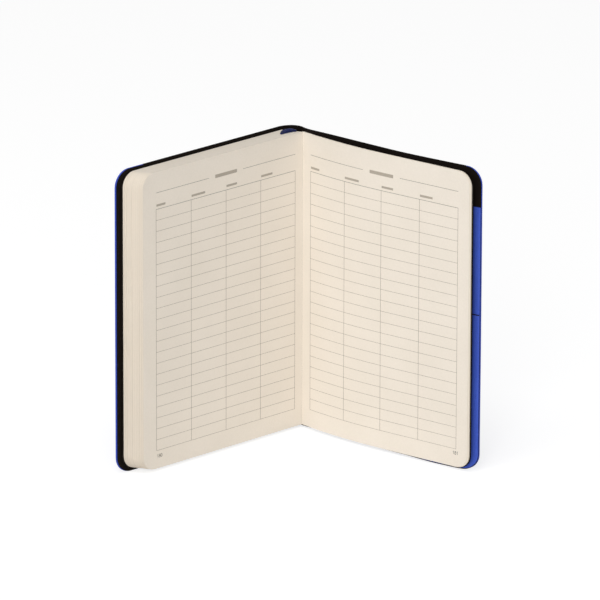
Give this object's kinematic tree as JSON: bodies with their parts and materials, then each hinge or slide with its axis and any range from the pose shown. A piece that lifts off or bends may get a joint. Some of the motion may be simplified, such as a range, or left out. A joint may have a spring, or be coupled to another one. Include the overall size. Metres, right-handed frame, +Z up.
{
  "type": "softcover notebook",
  "caption": "Softcover notebook standing open in a V on its tail: sewn block of paper with rounded corners, flexible cover with an arched spine, black liners and an inner back pocket.",
  "frame": {"origin": "on the floor, under the middle of the open notebook's bounding box", "axes": "+Z up along the gutter and the spine, +X to the reader's right across the open spread, +Y away from the reader towards the spine"},
  "size_m": [0.2064, 0.0902, 0.18],
  "materials": {
    "book_paper": "uncoated cream paper with fine tooth",
    "black_paper": "uncoated black endpaper",
    "blue_skin": "matt soft-touch artificial leather with fine grain",
    "blue_cloth": "woven book cloth",
    "cover_board": "thin flexible card",
    "gauze": "starched open-weave gauze",
    "thread": "waxed linen thread"
  },
  "bodies": {
    "book_block": {"open_signature_left_leaf_1": "book_paper", "signature_11": "book_paper", "signature_10": "book_paper", "signature_09": "book_paper", "signature_08": "book_paper", "signature_07": "book_paper", "signature_06": "book_paper", "signature_05": "book_paper", "signature_04": "book_paper", "signature_03": "book_paper", "signature_02": "book_paper", "signature_01": "book_paper", "front_flyleaf": "black_paper", "sewing_thread_1": "thread", "sewing_thread_2": "thread", "sewing_thread_3": "thread", "sewing_thread_4": "thread", "sewing_thread_5": "thread", "mull": "gauze", "headband": "blue_cloth", "tailband": "blue_cloth", "spine_skin": "blue_skin", "spine_liner": "black_paper", "spine_joint_skin": "blue_skin", "spine_joint_liner": "black_paper"},
    "left_leaf": {"left_leaf": "book_paper"},
    "front_cover": {"front_cover_liner": "black_paper", "front_cover_board": "cover_board", "front_cover_skin": "blue_skin"},
    "back_cover": {"back_cover_liner": "black_paper", "back_cover_board": "cover_board", "back_cover_skin": "blue_skin", "pocket_fore_edge_gusset": "blue_cloth", "pocket_spine_gusset": "blue_cloth", "pocket_tail_gusset": "blue_cloth", "pocket_panel": "blue_skin", "pocket_slot_panel": "blue_skin"},
    "right_leaves": {"open_signature_right_leaf_1": "book_paper", "open_signature_right_leaf_2": "book_paper", "open_signature_right_leaf_3": "book_paper", "open_signature_right_leaf_4": "book_paper", "open_signature_right_leaf_5": "book_paper", "back_flyleaf": "black_paper"},
    "right_leaf": {"right_leaf": "book_paper"}
  },
  "joints": [
    {"name": "front_cover_hinge", "type": "hinge", "parent": "book_block", "child": "front_cover", "pos_m": [-0.01336, 0.04047, 0.09], "axis": [0, 0, -1], "range_deg": [0, 150]},
    {"name": "left_leaf_turn", "type": "hinge", "parent": "book_block", "child": "left_leaf", "pos_m": [0.00222, 0.0379, 0.09], "axis": [0, 0, 1], "range_deg": [0, 88]},
    {"name": "back_cover_hinge", "type": "hinge", "parent": "book_block", "child": "back_cover", "pos_m": [0.00222, 0.0379, 0.09], "axis": [0, 0, 1], "range_deg": [-97, 95], "deforming": ["spine_joint_skin", "spine_joint_liner"]},
    {"name": "right_leaves_lift", "type": "hinge", "parent": "back_cover", "child": "right_leaves", "pos_m": [0.00222, 0.0379, 0.09], "axis": [0, 0, -1], "range_deg": [0, 40]},
    {"name": "right_leaf_turn", "type": "hinge", "parent": "right_leaves", "child": "right_leaf", "pos_m": [0.00222, 0.0379, 0.09], "axis": [0, 0, -1], "range_deg": [0, 60]}
  ]
}
